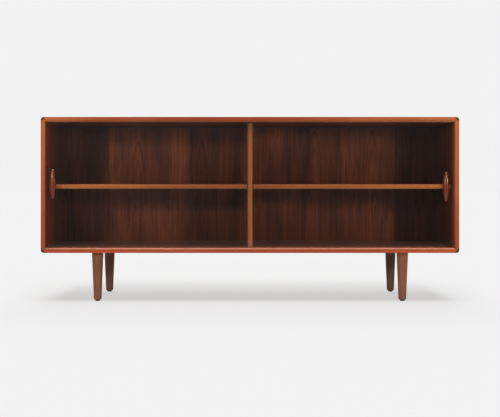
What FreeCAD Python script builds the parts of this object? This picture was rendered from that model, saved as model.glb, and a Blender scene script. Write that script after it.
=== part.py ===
# Low bookcase on four turned legs, with two sliding glass doors in front of two bays.
# The veneered carcase is mitred, with a rounded solid bead let into each outer corner and a solid frame
# round the opening that holds the two door tracks. +X is right, -Y is the front, +Z is up, and the origin
# is on the floor under the middle of the case. All lengths are millimetres.
import FreeCAD, Part
import math
import os
import Sketcher

doc = FreeCAD.newDocument("bookcase")

# Driving dimensions
SIZES = {
    # carcase
    "case_width": 1800,
    "case_depth": 400,
    "case_height": 585,
    "board_thickness": 21,
    "corner_radius": 13.5,
    "tongue_thickness": 4,
    "tongue_length": 8,
    "glue_gap": 0.1,
    # frame round the opening, with the door tracks
    "front_lip": 12,
    "rear_rail": 8.6,
    "frame_chamfer": 5,
    "track_slack": 1.4,
    "bottom_track_depth": 5,
    "top_track_depth": 12,
    "track_strip_thickness": 1.5,
    # glass doors
    "glass_thickness": 5,
    "glass_edge_chamfer": 0.5,
    "glass_overlap": 34,
    "door_side_gap": 1,
    "lift_out_gap": 6.5,
    # lens-shaped pulls
    "pull_length": 130,
    "pull_width": 26,
    "pull_thickness": 11,
    "pull_tip_radius": 6.5,
    "pull_inset": 26.5,
    "pull_passing_gap": 2,
    "left_pull_height": 511,
    "right_pull_height": 500,
    # divider
    "divider_gap": 4.6,
    "divider_lipping_depth": 12,
    "dowel_diameter": 8,
    "dowel_length": 24,
    "dowel_inset": 40,
    # back panel
    "back_thickness": 8,
    "back_recess": 8,
    "back_rebate": 10,
    "back_edge_gap": 1,
    # shelves and the brass supports that they lie on
    "shelf_rise": 254,
    "shelf_thickness": 20,
    "shelf_lipping_depth": 10,
    "shelf_end_gap": 3,
    "shelf_setback": 4,
    "shelf_back_gap": 4,
    "peg_diameter": 5,
    "peg_length": 8,
    "peg_inset": 60,
    "peg_pitch": 32,
    "peg_drop": 6,
    "support_reach": 12,
    "support_width": 10,
    "support_height": 10,
    "support_thickness": 1.5,
    # legs
    "leg_height": 215,
    "leg_side_inset": 233,
    "leg_front_inset": 60,
    "leg_top_diameter": 50,
    "leg_foot_diameter": 33.5,
    "leg_top_chamfer": 1,
    "leg_foot_chamfer": 3.5,
    "bolt_diameter": 8,
    "bolt_in_leg": 40,
    "bolt_in_case": 13,
    "insert_diameter": 12,
    "insert_length": 15,
    "glide_diameter": 22,
    "glide_foot_diameter": 13,
    "glide_thickness": 7,
    "glide_rim": 2.5,
}
PEG_ROW_COUNT_EACH_WAY = 1
DOWEL_COUNT_IN_A_ROW = 2
LEG_FLAT_COUNT = 40
PULL_FLAT_COUNT = 32
TAPER_COUNT_IN_HALF_A_PULL = 4
TAPER_COUNT_IN_A_PULL_TIP = 3

sheet = doc.addObject("Spreadsheet::Sheet", "Sizes")
for row, (name, size) in enumerate(SIZES.items(), start=1):
    sheet.set(f"A{row}", name)
    sheet.set(f"B{row}", str(size))
    sheet.setAlias(f"B{row}", name)
doc.recompute()

# Places that several pieces share, as expressions of the driving dimensions
outer_x = "(Sizes.case_width / 2)"
inner_x = "(Sizes.case_width / 2 - Sizes.board_thickness)"
bead_x = "(Sizes.case_width / 2 - Sizes.corner_radius)"
case_bottom = "Sizes.leg_height"
case_top = "(Sizes.leg_height + Sizes.case_height)"
floor = "(Sizes.leg_height + Sizes.board_thickness)"
ceiling = "(Sizes.leg_height + Sizes.case_height - Sizes.board_thickness)"
bead_low = "(Sizes.leg_height + Sizes.corner_radius)"
bead_high = "(Sizes.leg_height + Sizes.case_height - Sizes.corner_radius)"
front = "(-Sizes.case_depth / 2)"
back = "(Sizes.case_depth / 2)"
track_width = "(Sizes.glass_thickness + Sizes.track_slack)"
track_pitch = "(Sizes.glass_thickness + Sizes.pull_thickness + Sizes.pull_passing_gap)"
front_track = f"({front} + Sizes.front_lip)"
rear_track = f"({front_track} + {track_pitch})"
rear_track_wall = f"({rear_track} + {track_width})"
frame_back = f"({rear_track_wall} + Sizes.rear_rail)"
track_floor = f"({floor} - Sizes.bottom_track_depth)"
track_ceiling = f"({ceiling} + Sizes.top_track_depth)"
back_panel_front = f"({back} - Sizes.back_recess - Sizes.back_thickness)"
back_panel_rear = f"({back} - Sizes.back_recess)"
divider_front = f"({rear_track_wall} + Sizes.divider_gap)"
divider_board_front = f"({divider_front} + Sizes.divider_lipping_depth)"
divider_x = "(Sizes.board_thickness / 2)"
shelf_front = f"({divider_front} + Sizes.shelf_setback)"
shelf_board_front = f"({shelf_front} + Sizes.shelf_lipping_depth)"
shelf_rear = f"({back_panel_front} - Sizes.shelf_back_gap)"
shelf_bottom = f"({floor} + Sizes.shelf_rise)"
leg_x = "(Sizes.case_width / 2 - Sizes.leg_side_inset)"
leg_y = "(Sizes.case_depth / 2 - Sizes.leg_front_inset)"

# Each origin plane's normal points along its axis or, with -1, against it
PLANE_NORMAL = {"XY_Plane": 1, "YZ_Plane": 1, "XZ_Plane": -1}
ROOT_POINT = (-1, 1)
UPRIGHT = FreeCAD.Vector(0, 0, 1)

parts = []


def value(expression):
    return float(sheet.evalExpression(expression))


def new_body(label):
    body = doc.addObject("PartDesign::Body", label)
    body.Label = label
    return body


def new_sketch(body, plane, place):
    """An empty sketch on one of the body's own planes, moved to a place along the axis across it."""
    sketch = body.newObject("Sketcher::SketchObject", f"{body.Label}_sketch")
    origin_plane = next(item for item in body.Origin.OriginFeatures if item.Role == plane)
    sketch.AttachmentSupport = [(origin_plane, "")]
    sketch.MapMode = "FlatFace"
    sketch.setExpression("AttachmentOffset.Base.z", f"{PLANE_NORMAL[plane]} * ({place})")
    return sketch


def bind(sketch, constraint, expression):
    number = sketch.addConstraint(constraint)
    sketch.setExpression(f"Constraints[{number}]", expression)


def bind_point(sketch, edge, end, across, up):
    """Ties one end of an edge, or a circle's centre, to its two coordinates."""
    bind(sketch, Sketcher.Constraint("DistanceX", *ROOT_POINT, edge, end, value(across)), across)
    bind(sketch, Sketcher.Constraint("DistanceY", *ROOT_POINT, edge, end, value(up)), up)


def arc_between(start, end, radius, turn):
    """An arc from start to end that turns left, with turn 1, or right, with turn -1."""
    chord = end - start
    to_centre = math.sqrt(max(radius ** 2 - chord.Length ** 2 / 4, 0))
    sideways = FreeCAD.Vector(-chord.y, chord.x, 0).normalize()
    centre = (start + end) / 2 + sideways * to_centre * turn
    first, last = (start, end) if turn > 0 else (end, start)
    angles = [math.atan2(point.y - centre.y, point.x - centre.x) for point in (first, last)]
    return Part.ArcOfCircle(Part.Circle(centre, UPRIGHT, radius), *angles)


def draw_outline(sketch, corners):
    """A closed outline. A corner is (across, up), with (radius, turn) added where an arc leaves it."""
    points = [FreeCAD.Vector(value(corner[0]), value(corner[1]), 0) for corner in corners]
    ends = []
    for index, corner in enumerate(corners):
        start = points[index]
        end = points[(index + 1) % len(points)]
        if len(corner) == 2:
            edge = sketch.addGeometry(Part.LineSegment(start, end))
            ends.append((edge, 1, 2))
            continue
        radius, turn = corner[2:]
        edge = sketch.addGeometry(arc_between(start, end, value(radius), turn))
        ends.append((edge, 1, 2) if turn > 0 else (edge, 2, 1))
        bind(sketch, Sketcher.Constraint("Radius", edge, value(radius)), radius)
    for index, (edge, start_end, far_end) in enumerate(ends):
        next_edge, next_start, _ = ends[(index + 1) % len(ends)]
        sketch.addConstraint(Sketcher.Constraint("Coincident", edge, far_end, next_edge, next_start))
        bind_point(sketch, edge, start_end, corners[index][0], corners[index][1])


def draw_circles(sketch, centres, diameter):
    for across, up in centres:
        middle = FreeCAD.Vector(value(across), value(up), 0)
        circle = Part.Circle(middle, UPRIGHT, value(diameter) / 2)
        edge = sketch.addGeometry(circle)
        bind_point(sketch, edge, 3, across, up)
        bind(sketch, Sketcher.Constraint("Radius", edge, value(diameter) / 2), f"({diameter}) / 2")


def rectangle(left, right, low, high):
    return [(left, low), (right, low), (right, high), (left, high)]


def extrude(body, kind, plane, start, end, outline=None, centres=None, diameter=None):
    """A Pad or a Pocket between two places along the axis across the plane."""
    sketch = new_sketch(body, plane, f"(({start}) + ({end})) / 2")
    if outline:
        draw_outline(sketch, outline)
    if centres:
        draw_circles(sketch, centres, diameter)
    feature = body.newObject(f"PartDesign::{kind}", f"{body.Label}_{kind.lower()}")
    feature.Profile = sketch
    feature.Midplane = True
    feature.setExpression("Length", f"({end}) - ({start})")
    return feature


def pad(body, plane, start, end, outline):
    return extrude(body, "Pad", plane, start, end, outline)


def pocket(body, plane, start, end, outline):
    return extrude(body, "Pocket", plane, start, end, outline)


def drill(body, plane, start, end, centres, diameter):
    return extrude(body, "Pocket", plane, start, end, centres=centres, diameter=diameter)


def turn(body, profile):
    """A turned piece: the profile, as (radius, height) corners, goes once round the upright axis."""
    sketch = new_sketch(body, "XZ_Plane", "0")
    draw_outline(sketch, profile)
    feature = body.newObject("PartDesign::Revolution", f"{body.Label}_revolution")
    feature.Profile = sketch
    feature.ReferenceAxis = (sketch, ["V_Axis"])
    feature.Angle = 360
    return feature


def turn_with_flats(label, profile, reach, flat_count):
    """A turned shape drawn with narrow flats, as what slabs of its outline share all the way round."""
    slab = new_body(f"{label}_slab")
    other_side = [(negative(radius), height) for radius, height in reversed(profile) if value(radius)]
    pad(slab, "XZ_Plane", negative(reach), reach, profile + other_side)
    slabs = []
    for number in range(flat_count // 2):
        link = doc.addObject("App::Link", f"{label}_slab_{number}")
        link.LinkedObject = slab
        link.LinkTransform = False
        link.Placement.Rotation = FreeCAD.Rotation(UPRIGHT, 360 * number / flat_count)
        slabs.append(link)
    shape = doc.addObject("Part::MultiCommon", label)
    shape.Shapes = slabs
    shape.Refine = True
    return shape


def cut(label, base, tool):
    result = doc.addObject("Part::Cut", label)
    result.Label = label
    result.Base = base
    result.Tool = tool
    return result


def place(item, x, y, z, rotation=None):
    if rotation:
        item.Placement.Rotation = rotation
    item.setExpression("Placement.Base.x", x)
    item.setExpression("Placement.Base.y", y)
    item.setExpression("Placement.Base.z", z)


def group(label, pattern, places):
    """Copies of one small piece as separate solids of one sub-part. A place is (x, y, z, rotation)."""
    links = []
    for number, (x, y, z, rotation) in enumerate(places, start=1):
        link = doc.addObject("App::Link", f"{label}_{number}")
        link.LinkedObject = pattern
        link.LinkTransform = False
        place(link, x, y, z, rotation)
        links.append(link)
    compound = doc.addObject("Part::Compound", label)
    compound.Label = label
    compound.Links = links
    parts.append(compound)


def spread(first, last, count):
    """Evenly spaced places from first to last."""
    return [f"({first}) + (({last}) - ({first})) * {index} / {count - 1}" for index in range(count)]


def negative(expression):
    return f"(-({expression}))"


def half(sign, expression):
    """The place on the left, with sign -1, or on the right of the middle."""
    return f"({sign} * {expression})"


# Section of the level boards and strips: mitred inside, stepped outside for the corner bead
def level_section(outer, bead, inner):
    return [
        (negative(inner_x), inner),
        (inner_x, inner),
        (bead_x, bead),
        (bead_x, outer),
        (negative(bead_x), outer),
        (negative(bead_x), bead),
    ]


# Section of the upright boards and strips, the same on its side
def upright_section(sign):
    return [
        (half(sign, inner_x), floor),
        (half(sign, inner_x), ceiling),
        (half(sign, bead_x), bead_high),
        (half(sign, outer_x), bead_high),
        (half(sign, outer_x), bead_low),
        (half(sign, bead_x), bead_low),
    ]


# The rebate for the back panel runs round the inside of the boards and over the beads
def cut_back_rebate(body):
    reach_x = f"({inner_x} + Sizes.back_rebate)"
    low = f"({floor} - Sizes.back_rebate)"
    high = f"({ceiling} + Sizes.back_rebate)"
    pocket(body, "XZ_Plane", back_panel_front, back, rectangle(negative(reach_x), reach_x, low, high))


# Tongue of a corner bead in the end of a board, or the wider and deeper groove that takes it.
# The tongue stands in the middle of the bead, stops behind the front frame and short of the back rebate.
def tongue_outline(sign_x, edge_z, sign_z, into_level_board, gap):
    middle_x = f"({outer_x} - Sizes.corner_radius / 2)"
    middle_z = f"({edge_z} - {sign_z} * Sizes.corner_radius / 2)"
    half_thickness = f"(Sizes.tongue_thickness / 2 + {gap})"
    depth = f"(Sizes.tongue_length + {gap})"
    if into_level_board:
        left, right = half(sign_x, f"({bead_x} - {depth})"), half(sign_x, bead_x)
        low, high = f"({middle_z} - {half_thickness})", f"({middle_z} + {half_thickness})"
        return rectangle(left, right, low, high)
    shoulder = f"({edge_z} - {sign_z} * Sizes.corner_radius)"
    left = half(sign_x, f"({middle_x} - {half_thickness})")
    right = half(sign_x, f"({middle_x} + {half_thickness})")
    return rectangle(left, right, f"({shoulder} - {sign_z} * {depth})", shoulder)


SIDES = {"left": -1, "right": 1}
LEVELS = {"bottom": (-1, case_bottom, bead_low, floor), "top": (1, case_top, bead_high, ceiling)}

# Rows of peg holes for the shelf supports, at the front and at the back of each bay
peg_height = f"({shelf_bottom} - Sizes.peg_drop)"
peg_rows = [f"({peg_height} + {step} * Sizes.peg_pitch)"
            for step in range(-PEG_ROW_COUNT_EACH_WAY, PEG_ROW_COUNT_EACH_WAY + 1)]
peg_columns = [f"({shelf_front} + Sizes.peg_inset)", f"({shelf_rear} - Sizes.peg_inset)"]
peg_hole_places = [(column, peg_row) for column in peg_columns for peg_row in peg_rows]


def drill_peg_holes(body, start, end):
    """Drills between two places along X."""
    drill(body, "YZ_Plane", start, end, peg_hole_places, "(Sizes.peg_diameter + 2 * Sizes.glue_gap)")


# Places of the dowels that hold the divider's ends, along its depth
first_dowel = f"{divider_board_front} + Sizes.dowel_inset"
last_dowel = f"{back_panel_front} - Sizes.dowel_inset"
dowel_places = spread(first_dowel, last_dowel, DOWEL_COUNT_IN_A_ROW)
dowel_hole = "(Sizes.dowel_diameter + 2 * Sizes.glue_gap)"
dowel_half = "(Sizes.dowel_length / 2 + Sizes.glue_gap)"


def drill_dowel_holes(body, joint, side):
    """Drills from the joint between divider and board, upwards with side 1 and downwards with side -1."""
    bottom = f"({joint} + {side} * {dowel_half})"
    start, end = (joint, bottom) if side > 0 else (bottom, joint)
    drill(body, "XY_Plane", start, end, [("0", along) for along in dowel_places], dowel_hole)


# Top and bottom boards of the carcase
leg_places = {
    f"{depth}_{side}": (half(sign, leg_x), half(depth_sign, leg_y))
    for depth, depth_sign in (("front", -1), ("rear", 1))
    for side, sign in SIDES.items()
}
for level, (sign, outer, bead, inner) in LEVELS.items():
    board = new_body(f"{level}_panel")
    pad(board, "XZ_Plane", frame_back, back, level_section(outer, bead, inner))
    for side_sign in SIDES.values():
        groove = tongue_outline(side_sign, outer, sign, True, "Sizes.glue_gap")
        pocket(board, "XZ_Plane", frame_back, back_panel_front, groove)
    cut_back_rebate(board)
    drill_dowel_holes(board, inner, sign)
    if level == "bottom":
        insert_hole_end = f"({case_bottom} + Sizes.insert_length + Sizes.glue_gap)"
        insert_hole = "(Sizes.insert_diameter + 2 * Sizes.glue_gap)"
        drill(board, "XY_Plane", case_bottom, insert_hole_end, list(leg_places.values()), insert_hole)
    parts.append(board)

# Side boards of the carcase
for side, sign in SIDES.items():
    board = new_body(f"{side}_side_panel")
    pad(board, "XZ_Plane", frame_back, back, upright_section(sign))
    for level_sign, outer, _, _ in LEVELS.values():
        groove = tongue_outline(sign, outer, level_sign, False, "Sizes.glue_gap")
        pocket(board, "XZ_Plane", frame_back, back_panel_front, groove)
    cut_back_rebate(board)
    hole_bottom = f"({inner_x} + Sizes.peg_length + Sizes.glue_gap)"
    drill_peg_holes(board, *sorted((half(sign, inner_x), half(sign, hole_bottom)), key=value))
    parts.append(board)

# Rounded beads in the outer corners, each with a tongue into both boards that it joins
for level, (level_sign, outer, bead_z, _) in LEVELS.items():
    for side, sign in SIDES.items():
        bead = new_body(f"{level}_{side}_corner_bead")
        quarter_round = [
            (half(sign, bead_x), bead_z),
            (half(sign, outer_x), bead_z, "Sizes.corner_radius", sign * level_sign),
            (half(sign, bead_x), outer),
        ]
        pad(bead, "XZ_Plane", front, back, quarter_round)
        for into_level_board in (True, False):
            tongue = tongue_outline(sign, outer, level_sign, into_level_board, "0")
            pad(bead, "XZ_Plane", frame_back, back_panel_front, tongue)
        cut_back_rebate(bead)
        parts.append(bead)

# Top and bottom strips of the front frame, grooved for the doors and bevelled towards the opening
for level, (sign, outer, bead, inner) in LEVELS.items():
    strip = new_body(f"{level}_lipping")
    pad(strip, "XZ_Plane", front, frame_back, level_section(outer, bead, inner))
    track_end = track_ceiling if level == "top" else track_floor
    for track in (front_track, rear_track):
        groove = [(track, inner), (f"{track} + {track_width}", inner),
                  (f"{track} + {track_width}", track_end), (track, track_end)]
        pocket(strip, "YZ_Plane", negative(inner_x), inner_x, groove)
    bevel = [(front, inner), (f"{front} + Sizes.frame_chamfer", inner),
             (front, f"{inner} + {sign} * Sizes.frame_chamfer")]
    pocket(strip, "YZ_Plane", negative(outer_x), outer_x, bevel)
    parts.append(strip)

# Side strips of the front frame
for side, sign in SIDES.items():
    strip = new_body(f"{side}_lipping")
    pad(strip, "XZ_Plane", front, frame_back, upright_section(sign))
    bevel = [(half(sign, inner_x), front), (half(sign, f"({inner_x} + Sizes.frame_chamfer)"), front),
             (half(sign, inner_x), f"{front} + Sizes.frame_chamfer")]
    pocket(strip, "XY_Plane", case_bottom, case_top, bevel)
    parts.append(strip)

# Slip strips in the two bottom tracks, on which the glass runs
for name, track in (("front_track_strip", front_track), ("rear_track_strip", rear_track)):
    strip = new_body(name)
    near = f"({track} + Sizes.glue_gap)"
    far = f"({track} + {track_width} - Sizes.glue_gap)"
    strip_top = f"({track_floor} + Sizes.track_strip_thickness)"
    pad(strip, "YZ_Plane", f"{negative(inner_x)} + Sizes.glue_gap", f"{inner_x} - Sizes.glue_gap",
        rectangle(near, far, track_floor, strip_top))
    parts.append(strip)

# Back panel, in the rebate round the back of the carcase and against the divider
back_panel = new_body("back_panel")
panel_x = f"({inner_x} + Sizes.back_rebate - Sizes.back_edge_gap)"
panel_low = f"({floor} - Sizes.back_rebate + Sizes.back_edge_gap)"
panel_high = f"({ceiling} + Sizes.back_rebate - Sizes.back_edge_gap)"
pad(back_panel, "XZ_Plane", back_panel_front, back_panel_rear,
    rectangle(negative(panel_x), panel_x, panel_low, panel_high))
parts.append(back_panel)

# Divider with its solid front edge. Its peg holes go right through and serve both bays.
divider = new_body("divider_panel")
pad(divider, "XZ_Plane", divider_board_front, back_panel_front,
    rectangle(negative(divider_x), divider_x, floor, ceiling))
drill_peg_holes(divider, negative(divider_x), divider_x)
drill_dowel_holes(divider, floor, 1)
drill_dowel_holes(divider, ceiling, -1)
parts.append(divider)

divider_lipping = new_body("divider_lipping")
pad(divider_lipping, "XZ_Plane", divider_front, divider_board_front,
    rectangle(negative(divider_x), divider_x, floor, ceiling))
parts.append(divider_lipping)

# Shelves, one in each bay, with a solid front edge
for side, sign in SIDES.items():
    near_end = half(sign, f"({divider_x} + Sizes.shelf_end_gap)")
    far_end = half(sign, f"({inner_x} - Sizes.shelf_end_gap)")
    section = rectangle(near_end, far_end, shelf_bottom, f"({shelf_bottom} + Sizes.shelf_thickness)")
    shelf = new_body(f"{side}_shelf")
    pad(shelf, "XZ_Plane", shelf_board_front, shelf_rear, section)
    shelf_lipping = new_body(f"{side}_shelf_lipping")
    pad(shelf_lipping, "XZ_Plane", shelf_front, shelf_board_front, section)
    parts.extend([shelf, shelf_lipping])

# The pulls are cut from a slim turned spindle, split lengthwise. Its flank and its round tips follow two
# circles that meet without a corner, in short tapers with narrow flats.
tip = "Sizes.pull_tip_radius"
tip_centre = f"(Sizes.pull_length / 2 - {tip})"
flank = f"(((Sizes.pull_width / 2)^2 + {tip_centre}^2 - {tip}^2) / (Sizes.pull_width - 2 * {tip}))"
meeting_height = f"({tip_centre} * {flank} / ({flank} - {tip}))"
meeting_angle = f"asin({tip_centre} / ({flank} - {tip}))"
flank_points = []
for step in range(-TAPER_COUNT_IN_HALF_A_PULL, TAPER_COUNT_IN_HALF_A_PULL + 1):
    height = f"({meeting_height} * {step} / {TAPER_COUNT_IN_HALF_A_PULL})"
    flank_points.append((f"(sqrt({flank}^2 - {height}^2) - {flank} + Sizes.pull_width / 2)", height))
tip_points = []
for step in range(1, TAPER_COUNT_IN_A_PULL_TIP):
    angle = f"({meeting_angle} + (90 deg - {meeting_angle}) * {step} / {TAPER_COUNT_IN_A_PULL_TIP})"
    tip_points.append((f"({tip} * cos({angle}))", f"({tip_centre} + {tip} * sin({angle}))"))
tip_points.append(("0", "Sizes.pull_length / 2"))
lower_tip_points = [(radius, negative(height)) for radius, height in reversed(tip_points)]
spindle = turn_with_flats(
    "pull_spindle", lower_tip_points + flank_points + tip_points, "Sizes.pull_width", PULL_FLAT_COUNT)
split = "(Sizes.pull_thickness - Sizes.pull_width / 2)"
split_off = doc.addObject("Part::Box", "pull_split_off")
split_off.setExpression("Length", "2 * Sizes.pull_width")
split_off.setExpression("Width", "Sizes.pull_width")
split_off.setExpression("Height", "2 * Sizes.pull_length")
place(split_off, "-Sizes.pull_width", split, "-Sizes.pull_length")

# Sliding glass doors with ground edges, each with a pull bonded to it by its flat back.
# The left door runs in the front track, the right one behind it.
pane_inner_x = "(-Sizes.glass_overlap / 2)"
pane_outer_x = f"({inner_x} - Sizes.door_side_gap)"
pane_low = f"({track_floor} + Sizes.track_strip_thickness)"
pane_high = f"({track_ceiling} - Sizes.lift_out_gap)"
door_tracks = {"left": front_track, "right": rear_track}
pull_heights = {"left": "Sizes.left_pull_height", "right": "Sizes.right_pull_height"}
for side, sign in SIDES.items():
    pane_front = f"({door_tracks[side]} + Sizes.track_slack / 2)"
    pane = new_body(f"{side}_glass_door")
    blank = pad(pane, "XZ_Plane", pane_front, f"({pane_front} + Sizes.glass_thickness)",
                rectangle(half(sign, pane_inner_x), half(sign, pane_outer_x), pane_low, pane_high))
    doc.recompute()
    faces = [f"Face{number}" for number, face in enumerate(blank.Shape.Faces, start=1)
             if abs(face.normalAt(0, 0).y) > 0.5]
    ground_edge = pane.newObject("PartDesign::Chamfer", f"{pane.Label}_ground_edge")
    ground_edge.Base = (blank, faces)
    ground_edge.setExpression("Size", "Sizes.glass_edge_chamfer")
    parts.append(pane)

    pull = cut(f"{side}_pull", spindle, split_off)
    place(pull, half(sign, f"({pane_outer_x} - Sizes.pull_inset)"), f"{pane_front} - {split}",
          pull_heights[side])
    parts.append(pull)

# Turned tapered legs, drawn with narrow flats and bored at the top for their hanger bolts
foot_radius = "Sizes.leg_foot_diameter / 2"
top_radius = "Sizes.leg_top_diameter / 2"
leg_blank = turn_with_flats("leg_blank", [
    (f"({foot_radius} - Sizes.leg_foot_chamfer)", "Sizes.glide_thickness"),
    (foot_radius, "Sizes.glide_thickness + Sizes.leg_foot_chamfer"),
    (top_radius, "Sizes.leg_height - Sizes.leg_top_chamfer"),
    (f"({top_radius} - Sizes.leg_top_chamfer)", "Sizes.leg_height"),
], "Sizes.leg_top_diameter", LEG_FLAT_COUNT)
bolt_hole = doc.addObject("Part::Cylinder", "leg_bolt_hole")
bolt_hole.setExpression("Radius", "Sizes.bolt_diameter / 2 + Sizes.glue_gap")
bolt_hole.setExpression("Height", "Sizes.bolt_in_leg + Sizes.glue_gap")
bolt_hole.setExpression("Placement.Base.z", "Sizes.leg_height - Sizes.bolt_in_leg - Sizes.glue_gap")
for name, (x, y) in leg_places.items():
    leg = cut(f"{name}_leg", leg_blank, bolt_hole)
    place(leg, x, y, "0")
    parts.append(leg)

# Hanger bolts of the legs and the threaded inserts that they go into
upright_places = [(x, y, "0", None) for x, y in leg_places.values()]
hanger_bolt = doc.addObject("Part::Cylinder", "hanger_bolt")
hanger_bolt.setExpression("Radius", "Sizes.bolt_diameter / 2")
hanger_bolt.setExpression("Height", "Sizes.bolt_in_leg + Sizes.bolt_in_case")
bolt_low = "Sizes.leg_height - Sizes.bolt_in_leg"
group("leg_bolts", hanger_bolt, [(x, y, bolt_low, None) for x, y in leg_places.values()])

insert = new_body("threaded_insert")
turn(insert, rectangle(
    "Sizes.bolt_diameter / 2 + Sizes.glue_gap", "Sizes.insert_diameter / 2",
    case_bottom, f"{case_bottom} + Sizes.insert_length"))
group("leg_inserts", insert, upright_places)

# Glides under the legs, which narrow to a small flat foot
glide = new_body("glide")
glide_radius = "Sizes.glide_diameter / 2"
turn(glide, [
    ("0", "0"),
    ("Sizes.glide_foot_diameter / 2", "0"),
    (glide_radius, "Sizes.glide_thickness - Sizes.glide_rim"),
    (glide_radius, "Sizes.glide_thickness"),
    ("0", "Sizes.glide_thickness"),
])
group("glides", glide, upright_places)

# Dowels in both ends of the divider
dowel = doc.addObject("Part::Cylinder", "dowel")
dowel.setExpression("Radius", "Sizes.dowel_diameter / 2")
dowel.setExpression("Height", "Sizes.dowel_length")
group("divider_dowels", dowel, [
    ("0", along, f"{joint} - Sizes.dowel_length / 2", None)
    for joint in (floor, ceiling) for along in dowel_places
])

# Shelf supports, each a peg with an angle plate: drawn at the face of a wall, with the bay to its right
support = new_body("shelf_support")
half_width = "(Sizes.support_width / 2)"
plate_low = "(Sizes.peg_drop - Sizes.support_height)"
ledge_low = "(Sizes.peg_drop - Sizes.support_thickness)"
pad(support, "YZ_Plane", "0", "Sizes.support_thickness",
    rectangle(negative(half_width), half_width, plate_low, "Sizes.peg_drop"))
pad(support, "YZ_Plane", "0", "Sizes.support_reach",
    rectangle(negative(half_width), half_width, ledge_low, "Sizes.peg_drop"))
extrude(support, "Pad", "YZ_Plane", "-Sizes.peg_length", "0",
        centres=[("0", "0")], diameter="Sizes.peg_diameter")
half_turn = FreeCAD.Rotation(UPRIGHT, 180)
bay_walls = {
    "left": [(negative(inner_x), None), (negative(divider_x), half_turn)],
    "right": [(divider_x, None), (inner_x, half_turn)],
}
for side, walls in bay_walls.items():
    group(f"{side}_shelf_supports", support,
          [(x, column, peg_height, rotation) for x, rotation in walls for column in peg_columns])

doc.recompute()

# Nothing is written unless every feature worked, every cut took something away and every solid is sound
for item in doc.Objects:
    if {"Invalid", "Error"} & set(item.State):
        raise RuntimeError(f"{item.Label} failed: {item.State}")
    uncut = None
    if item.TypeId in ("PartDesign::Pocket", "PartDesign::Chamfer"):
        uncut = item.BaseFeature
    if item.TypeId == "Part::Cut":
        uncut = item.Base
    if uncut and item.Shape.Volume >= uncut.Shape.Volume:
        raise RuntimeError(f"{item.Label} cuts nothing")
for part in parts:
    if part.Shape.isNull() or not part.Shape.isValid():
        raise RuntimeError(f"{part.Label} has no sound shape")

os.makedirs("parts", exist_ok=True)
for part in parts:
    part.Shape.exportStep(f"parts/{part.Label}.step")
print(f"{len(parts)} sub-parts written")
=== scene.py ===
import math

import bpy
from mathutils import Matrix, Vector


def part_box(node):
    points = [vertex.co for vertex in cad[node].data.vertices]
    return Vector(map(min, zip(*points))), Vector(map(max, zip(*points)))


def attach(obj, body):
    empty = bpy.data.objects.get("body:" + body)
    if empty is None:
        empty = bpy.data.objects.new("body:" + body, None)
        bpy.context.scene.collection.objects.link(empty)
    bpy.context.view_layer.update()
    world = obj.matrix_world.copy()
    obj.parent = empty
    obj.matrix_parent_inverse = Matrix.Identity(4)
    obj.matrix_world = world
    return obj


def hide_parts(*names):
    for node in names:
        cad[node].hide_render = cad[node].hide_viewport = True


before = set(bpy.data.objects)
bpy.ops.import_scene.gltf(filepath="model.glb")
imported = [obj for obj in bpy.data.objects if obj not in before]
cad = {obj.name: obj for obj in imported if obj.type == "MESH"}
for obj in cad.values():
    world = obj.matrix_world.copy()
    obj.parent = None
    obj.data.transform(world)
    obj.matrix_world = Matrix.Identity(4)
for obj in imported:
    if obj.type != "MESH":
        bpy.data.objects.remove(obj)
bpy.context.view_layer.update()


# Top, bottom and side boards
# Four 21 mm boards of blockboard, veneered in teak on both faces, with the corner beads glued to
# their ends. The grain runs along each board, so it goes round the case.

X, Y, Z = 0, 1, 2


def add_node(tree, kind, inputs=(), **settings):
    """Adds a node. The inputs are numbers, colours or other nodes' sockets, by socket name or number."""
    made = tree.nodes.new("ShaderNode" + kind)
    for setting, value in settings.items():
        setattr(made, setting, value)
    for socket, value in dict(inputs).items():
        if isinstance(value, bpy.types.NodeSocket):
            tree.links.new(value, made.inputs[socket])
        else:
            made.inputs[socket].default_value = value
    return made


def new_finish(name):
    """An empty material and its node tree."""
    material = bpy.data.materials.new(name)
    material.use_nodes = True
    material.node_tree.nodes.clear()
    return material, material.node_tree


def show(tree, shader):
    """Makes a shader the surface of its material."""
    tree.links.new(shader.outputs[0], add_node(tree, "OutputMaterial").inputs[0])


def calculate(tree, operation, *values, clamp=False):
    made = add_node(tree, "Math", dict(enumerate(values)), operation=operation, use_clamp=clamp)
    return made.outputs[0]


def calculate_vector(tree, operation, first, second):
    return add_node(tree, "VectorMath", {0: first, 1: second}, operation=operation).outputs[0]


def scaled(tree, vector, factor):
    return add_node(tree, "VectorMath", {0: vector, "Scale": factor}, operation="SCALE").outputs[0]


def distance(tree, across, up):
    """How far a place is from a centre that it lies so far across and so far up from."""
    squares = [calculate(tree, "MULTIPLY", side, side) for side in (across, up)]
    return calculate(tree, "SQRT", calculate(tree, "ADD", *squares))


def fit_range(tree, value, low, high, to_low=0.0, to_high=1.0):
    made = add_node(tree, "MapRange", {"Value": value, "From Min": low, "From Max": high,
                                       "To Min": to_low, "To Max": to_high})
    return made.outputs[0]


def mix_colour(tree, share, first, second, blend="MIX"):
    made = add_node(tree, "Mix", {0: share, 6: first, 7: second}, data_type="RGBA", blend_type=blend)
    return made.outputs[2]


def own_place(tree):
    """The place on the piece in metres, as its X, Y and Z."""
    here = add_node(tree, "TexCoord").outputs["Object"]
    return add_node(tree, "SeparateXYZ", {0: here}).outputs


def own_normal(tree):
    """The way that the piece's face points, as its X, Y and Z."""
    facing = add_node(tree, "TexCoord").outputs["Normal"]
    return add_node(tree, "SeparateXYZ", {0: facing}).outputs


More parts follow.
